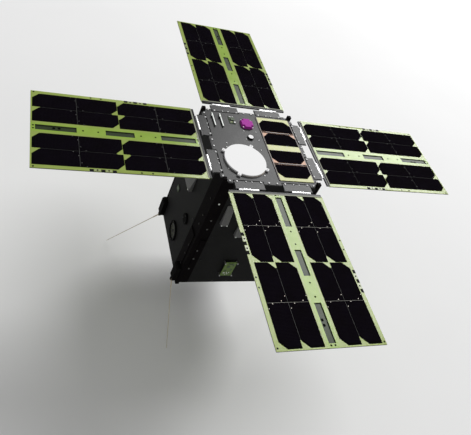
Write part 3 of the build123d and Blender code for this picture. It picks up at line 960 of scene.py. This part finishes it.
# %% [markdown]
# The cells lie on a black film that fills the gaps of each pair, with a fine bare wire along
# its middle. Between the pairs the film leaves a thin line of the board, and at the tip it
# reaches a little past the last cells.
# %% Film and wires
HALVES = ((-98.5, -16.3), (16.3, 98.5))
PAIR_GAPS = ((82.0, 84.0, 83.0), (247.0, 249.0, 248.6))  # near and far edge, and the wire
BARE_LINE = (166.0, 166.5)  # between the second row's film and the third's
FILM_PAST = 3.7  # how far the film reaches past the last cells
COLUMN_GAPS, COLUMN_FILM = (-57.4, 57.4), 1.1  # middles, and half the film's width
OPEN_CORNER = 11.0  # how far the columns' film and wire keep from an open corner
WIRE_HALF_W, WIRE_INSET = 0.18, 1.5


def strip(bm, x0, x1, near, far, top, finish):
    """A strip on the front wing between two distances from its root."""
    add_block(bm, x0, x1, wing_root - far, wing_root - near, board_top, board_top + top, finish)


def wing_rows(bm):
    """Film and wire between the rows of each half."""
    for x0, x1 in HALVES:
        for near, far, wire in PAIR_GAPS:
            strip(bm, x0, x1, near, far, BED_H, 1)
            edges = (wire - WIRE_HALF_W, wire + WIRE_HALF_W)
            strip(bm, x0 + WIRE_INSET, x1 - WIRE_INSET, *edges, WIRE_H, 2)
    second_end, third_start = ROWS[1][0] + CELL_L, ROWS[2][0]
    for x0 in COLUMNS:
        strip(bm, x0 + CROP, x0 + CELL_W, second_end, BARE_LINE[0], BED_H, 1)
        strip(bm, x0, x0 + CELL_W - CROP, BARE_LINE[1], third_start, BED_H, 1)


def wing_columns(bm):
    """Film and wire between the columns, which stop at the open corners."""
    for x in COLUMN_GAPS:
        for near, side in ROWS:
            y0 = near + (OPEN_CORNER if side > 0 else 0)
            y1 = near + CELL_L - (0 if side > 0 else OPEN_CORNER)
            strip(bm, x - COLUMN_FILM, x + COLUMN_FILM, y0, y1, BED_H, 1)
            strip(bm, x - WIRE_HALF_W, x + WIRE_HALF_W, y0, y1, WIRE_H, 3)


def tip_film(bm):
    """The film past the last cells, which keeps the form of their ends."""
    far = ROWS[3][0] + CELL_L
    for x0 in COLUMNS:
        x1, x2 = x0 + CROP, x0 + CELL_W
        outline = [
            (x0, far - CROP), (x1, far), (x2, far),
            (x2, far + FILM_PAST), (x1, far + FILM_PAST), (x0, far - CROP + FILM_PAST),
        ]
        one = bmesh.new()
        verts = [one.verts.new((x, wing_root - along, board_top)) for x, along in outline]
        upper = new_verts(bmesh.ops.extrude_face_region(one, geom=[one.faces.new(verts)]))
        bmesh.ops.translate(one, vec=(0, 0, BED_H), verts=upper)
        bmesh.ops.recalc_face_normals(one, faces=one.faces)
        stamp(bm, as_mesh(one), [Matrix.Identity(4)], 1)

# %% [markdown]
# At the root, a strip clamps the board onto the hinge bar, and on two of the wings a black strip
# beside it is painted shade on the board's root face. The wings' tabs, wires and pads are lit
# and shaded copies of one finish, painted brightest on the front wing, so each wing names its
# own finishes.
# %% Root strips, and all four wings
# Strips along a wing's root: near and far edge from the middle of the bus, and their finish.
# On the right and back wings, the black strip at the root is painted shade on the board's root face.
SHADED_ROOT_STRIPS = ((138.0, 139.9, 1), (140.0, 142.4, 4))
NEAR_STRIPS = ((138.4, 141.3, 4),)
ROOT_REACH, ROOT_PROUD = 104.0, 0.1  # half a strip's length, and its top over the deck
# For each wing: finish of its tabs, of the wires along rows and columns, of its edge pads, and
# the strips at its root. The finishes are lit and shaded copies: painted light and shade.
WING_LIT_AND_SHADED_LOOKS = {
    "front": ("tab_metal", "bright_wire", "dim_wire", "pale_pad", NEAR_STRIPS),
    "right": ("dim_tab", "faint_wire", "faint_wire", "pale_pad", SHADED_ROOT_STRIPS),
    "back": ("dim_tab", "faint_wire", "faint_wire", "dim_pad", SHADED_ROOT_STRIPS),
    "left": ("dim_tab", "dim_wire", "faint_wire", "dim_pad", NEAR_STRIPS),
}


def root_strips(bm, strips):
    """The strip that clamps the board onto the hinge bar, with a black strip of painted shade beside it on some
    wings.
    """
    for near, far, finish in strips:
        levels = (board_top, z_top + ROOT_PROUD)
        add_block(bm, -ROOT_REACH, ROOT_REACH, -far, -near, *levels, finish)


for side, (tab, row_wire, column_wire, _, strips) in WING_LIT_AND_SHADED_LOOKS.items():
    bm = bmesh.new()
    root_strips(bm, strips)
    wing_slits(bm)
    wing_rows(bm)
    wing_columns(bm)
    tip_film(bm)
    bmesh.ops.transform(bm, matrix=turned(side), verts=bm.verts)
    wiring = [tab, "bed_black", row_wire, column_wire, "clamp_strip"]
    publish(bm, "wing_wiring_" + side, "wing_" + side, "hinge_metal", wiring)

# %% [markdown]
# ## Holes in the wings
# Small holes line the long edges, the corners and the green lands between the windows, and
# two larger ones are in the spine plate. At this size a hole reads as a black disc, its
# painted shade, so that is what is made, at most a fifth of a millimetre proud. Pads lie on the
# lands between the notches of each long edge, painted pale on the front and right wings as a
# painted highlight and dim on the others, and tinned ones at the root.
# %% Holes and pads
EDGE_X, EDGE_YS = 103.4, (-253.5, -275.0, -336.5, -357.5, -469.0)
EDGE_HOLES = [(sx * EDGE_X, y) for sx in (-1, 1) for y in EDGE_YS]
LAND_HOLES = [
    (0, -234.0), (0, -264.0), (0, -349.0), (0, -378.0), (-4.0, -469.5), (4.0, -469.5), (-4.0, -142.0),
]
SPINE_HOLES = [(-2.0, -422.0), (-2.0, -432.0)]
ROOT_PAD_XS, ROOT_PAD_Y = (5.0, -9.5), -142.0
EDGE_PADS = [(-103.6, -253.5), (-103.6, -274.3), (103.6, -336.5), (103.6, -357.5)]
WING_PARTS = [(x, ROOT_PAD_Y, 3.0, 1.6, 0.2, 1) for x in ROOT_PAD_XS]
WING_PARTS += [(x, y, 6.0, 11.5, BED_H, 2) for x, y in EDGE_PADS]
EDGE_HOLE, SPINE_HOLE = (3.5, 0.2, 16), (5.6, 0.1)  # width, height and segments
edge_hole, spine_hole = as_mesh(cylinder(*EDGE_HOLE)), as_mesh(cylinder(*SPINE_HOLE))

for side, look in WING_LIT_AND_SHADED_LOOKS.items():
    bm = bmesh.new()
    # Black discs stand for the holes, as painted shade.
    stamp(bm, edge_hole, at_height(board_top, EDGE_HOLES + LAND_HOLES))
    stamp(bm, spine_hole, at_height(board_low.z, SPINE_HOLES))
    add_parts(bm, WING_PARTS, board_top)
    bmesh.ops.transform(bm, matrix=turned(side), verts=bm.verts)
    hole_finishes = ["bed_black", "solder", look[3]]
    publish(bm, "wing_holes_" + side, "wing_" + side, "fitting_black", hole_finishes)

# %% [markdown]
# ## Screws on the sides
# Screws run down the wide rails, along the edges of the panels and under the base. Nearly all
# are blackened like the rails. One table gives depths and another places across.
# %% Side screws
# Depth below the deck, and how far the rail stands out there.
RAIL_ROWS = ((67.0, 0.0), (121.0, 0.0), (150.0, 0.0), (225.0, 1.5), (255.0, 1.5), (293.0, 1.5))
RAIL_X = 98.5
RAIL_FINISHES = ["fin_white", "dim_screw", "screw_black"]
# For each side: place across, and the finish of the uppermost screw and of the others.
RAIL_LOOKS = {
    "front": (-RAIL_X, 0, 1), "back": (-RAIL_X, 0, 1), "left": (RAIL_X, 2, 2), "right": (RAIL_X, 2, 2),
}
PANEL_DOWNS = (14.0, 92.0, 176.0, 262.0, 338.0)
FRONT_XS, RIGHT_XS = (-78.0, 98.0), (-98.0, 63.0)
BASE_XS, BASE_OUT = (-84, -42, 0, 42, 84), 104.5

bm = bmesh.new()
for side, (x, uppermost, others) in RAIL_LOOKS.items():
    for index, (down, proud) in enumerate(RAIL_ROWS):
        place = on_front(x, down, half + proud)
        stamp(bm, big_screw, [place], others if index else uppermost, side)
publish(bm, "rail_screws", "bus", "hinge_metal", RAIL_FINISHES)

bm = bmesh.new()
for side, columns in zip(SIDES, (FRONT_XS, RIGHT_XS, FRONT_XS, RIGHT_XS)):
    places = [on_front(x, down) for x in columns for down in PANEL_DOWNS]
    places += [upright(x, -BASE_OUT, z_base) @ Matrix.Rotation(math.pi, 4, "X") for x in BASE_XS]
    stamp(bm, small_screw, places, side=side)
publish(bm, "panel_screws", "bus", "mount_black", ["screw_black"])

# %% [markdown]
# Each wing rest is held by two bare screws in its flat lower end. The front and back sides
# have two narrow rests, and the other two sides have one wide rest.
# %% Rest screws
REST_OUT = 9.0  # the flat lower end of a rest, out from the side
# Middle across, depth below the deck, half spacing.
NARROW_RESTS = ((-68.5, 126.0, 6.2), (-19.0, 164.0, 9.0))
WIDE_RESTS = ((-26.0, 148.0, 27.0),)

bm = bmesh.new()
for side, rests in zip(SIDES, (NARROW_RESTS, WIDE_RESTS, NARROW_RESTS, WIDE_RESTS)):
    for middle, down, spacing in rests:
        xs = (middle - spacing, middle + spacing)
        stamp(bm, small_screw, [on_front(x, down, half + REST_OUT) for x in xs], side=side)
publish(bm, "rest_screws", "bus", "hinge_metal", ["fin_white"])

# %% [markdown]
# ## The circuit module
# The board on the front side carries a few chips, a connector and a row of tinned contacts,
# and a pin stands in each corner. The table gives them in the module's own axes.
# %% Module parts
module, module_face = middle_mm("circuit_module"), -box_mm("circuit_module")[0].y
module_place = on_front(module.x, z_top - module.z, module_face)
MODULE_FINISHES = ["solder", "chip_black", "board_dark", "screw_steel"]
# Middle across and up, width and height, thickness, finish.
MODULE_PARTS = [
    (-3.0, 10.0, 7.0, 7.0, 1.0, 2),
    (7.5, 14.0, 4.0, 3.0, 0.8, 2),
    (7.0, -2.0, 3.0, 6.0, 0.8, 2),
    (-6.5, -6.0, 5.0, 3.0, 0.8, 2),
    (-7.5, -14.0, 5.0, 2.4, 1.1, 0),
    (-1.0, -12.0, 2.6, 2.0, 0.9, 0),
    (1.5, -18.0, 3.0, 1.8, 0.9, 0),
    (5.0, -13.0, 2.0, 3.0, 0.8, 3),
    (-3.0, -20.5, 2.0, 1.6, 0.8, 3),
    (9.5, -20.0, 3.0, 1.6, 0.8, 2),
    (0.5, 20.5, 14.0, 1.6, 1.6, 2),
]
CONTACT_ROW = [(-5.65 + 1.55 * index, 18.95, 0.7, 0.7, 1.0, 0) for index in range(9)]

bm = bmesh.new()
add_parts(bm, MODULE_PARTS + CONTACT_ROW, place=module_place)
publish(bm, "module_parts", "bus", "board_bright", MODULE_FINISHES)

# %% [markdown]
# ## The ports
# A ring of small screws holds the main port's flange, and a dark iris lies in the middle of
# its lens. The cap of the small port has three screws.
# %% Port trim
ring_out, lens_out = -box_mm("port_rings")[0].x, -box_mm("port_lenses")[0].x
lens = middle_mm("port_lenses")
PORT, CAP = (-lens.y, z_top - lens.z), (33.0, 213.0)  # across the left side, and down
PORT_SCREWS, CAP_SCREWS = (22.6, 8, 0.3), (9.5, 3, 0.5)  # reach, count, first turn
IRIS_D, IRIS_H = 9.0, 0.2
LENS_RING = (16.5, 15.3, 0.4)  # radii and height

bm = bmesh.new()
for middle, screws in ((PORT, PORT_SCREWS), (CAP, CAP_SCREWS)):
    places = [on_front(x, down, ring_out) for x, down in ring(*middle, *screws)]
    stamp(bm, small_screw, places, side="left")
lens_face = [on_front(*PORT, lens_out)]
stamp(bm, as_mesh(cylinder(IRIS_D, IRIS_H)), lens_face, 1, "left")
stamp(bm, washer(*LENS_RING, segments=40), lens_face, side="left")
publish(bm, "port_trim", "bus", "fitting_black", ["screw_black", "chip_black"])

# %% [markdown]
# ## The whip antennas
# A whip is a round rod that tapers to its tip, in a thicker sleeve at its root. Its solid
# has flats, so a turned one replaces it: half its outline is drawn once and spun about
# its axis. The hub that turns on the pin is a bored ring, spun the same way.
# %% Turned pieces
def spun(outline, segments=20):
    """A solid of revolution about Z, from radius and height pairs, closed at its ends."""
    bm = bmesh.new()
    verts = [bm.verts.new((r, 0, h)) for r, h in outline]
    edges = [bm.edges.new(pair) for pair in zip(verts, verts[1:])]
    bmesh.ops.spin(
        bm, geom=verts + edges, axis=(0, 0, 1), cent=(0, 0, 0), dvec=(0, 0, 0),
        angle=math.radians(360), steps=segments, use_merge=True, use_duplicate=False,
    )
    bmesh.ops.remove_doubles(bm, verts=bm.verts, dist=SAME_POINT)
    bmesh.ops.recalc_face_normals(bm, faces=bm.faces)
    return bm


# Radius and distance from the hinge: sleeve, then the taper to the tip.
ROD_OUTLINE = [
    (0, 2.2), (1.2, 2.2), (1.5, 2.8), (1.5, 19.0), (1.2, 20.0),
    (0.9, 20.1), (0.6, 164.2), (0.4, 164.8), (0, 165.0),
]
HUB_OUTLINE = [(0.9, -1.7), (2.2, -1.7), (2.5, -1.4), (2.5, 1.4), (2.2, 1.7), (0.9, 1.7), (0.9, -1.7)]
# Which way a rod leans out from its hinge.
RODS = {"back_right": (0, 1), "front_right": (1, 0), "front_left": (0, -1), "back_left": (-1, 0)}


def pointing(way):
    """The turn that lays a piece's own Z along a direction."""
    return Vector(way).to_track_quat("Z", "Y").to_matrix().to_4x4()


for joint in frame["joints"]:
    name = joint["child"].removeprefix("antenna_")
    if name in RODS:
        hinge = Matrix.Translation([v / MM for v in joint["pos_m"]])
        bm = bmesh.new()
        stamp(bm, as_mesh(spun(ROD_OUTLINE)), [hinge @ pointing((*RODS[name], -1))])
        stamp(bm, as_mesh(spun(HUB_OUTLINE)), [hinge @ pointing(joint["axis"])])
        publish(bm, "whip_" + name, joint["child"], "rod_steel", None, ["antenna_rod_" + name])

# %% [markdown]
# ## Floor, light and camera
# The satellite hangs over a plain pale floor that starts just below its antennas. One large
# square is enough, in a matt paint with faint clouds.
# %% Floor
FLOOR_DROP, FLOOR_HALF_W = 0.004, 8  # metres
paint = Paint("floor_paint")
paint.shade({
    "Base Color": paint.blend(0.76, 0.80, paint.noise(400)),
    "Roughness": 0.9,
    "Specular IOR Level": 0.1,
})
bm = bmesh.new()
bmesh.ops.create_grid(bm, x_segments=1, y_segments=1, size=FLOOR_HALF_W)
floor = in_scene("floor", as_mesh(bm, "floor"))
floor.location.z = cad_box[0].z - FLOOR_DROP
floor.data.materials.append(finishes["floor_paint"])
print("floor at", round(floor.location.z, 4), "m")

# %% [markdown]
# A soft round lamp stands high behind the satellite on the right. From the camera, the front
# and right wings mirror that lamp and turn pale, and the back and left wings don't. The pale
# sky fills the shadows. The lamp's place is a turn from +Y towards +X and a climb, both seen
# from the point that it aims at, because that is how a lamp is moved in a studio.
# %% Lamp and sky
AIM = Vector((0, 0, 0.36))
LAMP_TURN, LAMP_CLIMB, LAMP_FAR = math.radians(44), math.radians(41), 9.0
LAMP_D, LAMP_POWER = 4.9, 760
SKY_GREY, SKY_STRENGTH = 0.80, 0.53

level = math.cos(LAMP_CLIMB)
way = Vector((math.sin(LAMP_TURN) * level, math.cos(LAMP_TURN) * level, math.sin(LAMP_CLIMB)))
light = bpy.data.lights.new("key", "AREA")
light.shape = "DISK"
light.size = LAMP_D
light.energy = LAMP_POWER
lamp = in_scene("key", light)
lamp.location = AIM + way * LAMP_FAR
lamp.rotation_euler = (-way).to_track_quat("-Z", "Y").to_euler()

world = bpy.data.worlds.new("sky")
world.use_nodes = True
bpy.context.scene.world = world
sky = world.node_tree.nodes["Background"]
sky.inputs["Color"].default_value = colour(SKY_GREY)
sky.inputs["Strength"].default_value = SKY_STRENGTH
print("lamp at", [round(v, 2) for v in lamp.location])

# %% [markdown]
# The camera stands in front, to the left and above. It looks down at the middle of the deck
# and is rolled, so that the upright edges of the box lean. Its lens is shifted a little,
# because the picture shows more below the line of sight than above it.
# %% Camera
PICTURE_W, PICTURE_H = 471, 435
FOCAL_PIXELS = 567.8
SIGHT_LINE_DOWN = 160.0  # pixels from the top of the picture to the line of sight
CAMERA_AT = Vector((-0.5391, -0.8383, 1.1075))
HEADING, LOOK_DOWN, ROLL = 30.745, 39.140, 25.164

camera = bpy.data.cameras.new("camera")
camera.sensor_fit = "HORIZONTAL"
camera.sensor_width = 36.0
camera.lens = FOCAL_PIXELS / PICTURE_W * camera.sensor_width
camera.shift_y = (SIGHT_LINE_DOWN - PICTURE_H / 2) / PICTURE_W
camera.clip_start = 0.01
viewer = in_scene("camera", camera)
viewer.matrix_world = (
    Matrix.Translation(CAMERA_AT)
    @ Matrix.Rotation(math.radians(-HEADING), 4, "Z")
    @ Matrix.Rotation(math.radians(90 - LOOK_DOWN), 4, "X")
    @ Matrix.Rotation(math.radians(ROLL), 4, "Z")
)
bpy.context.scene.camera = viewer
bpy.context.scene.view_settings.view_transform = "Standard"
print("lens:", round(camera.lens, 2), "mm, shift:", round(camera.shift_y, 4))
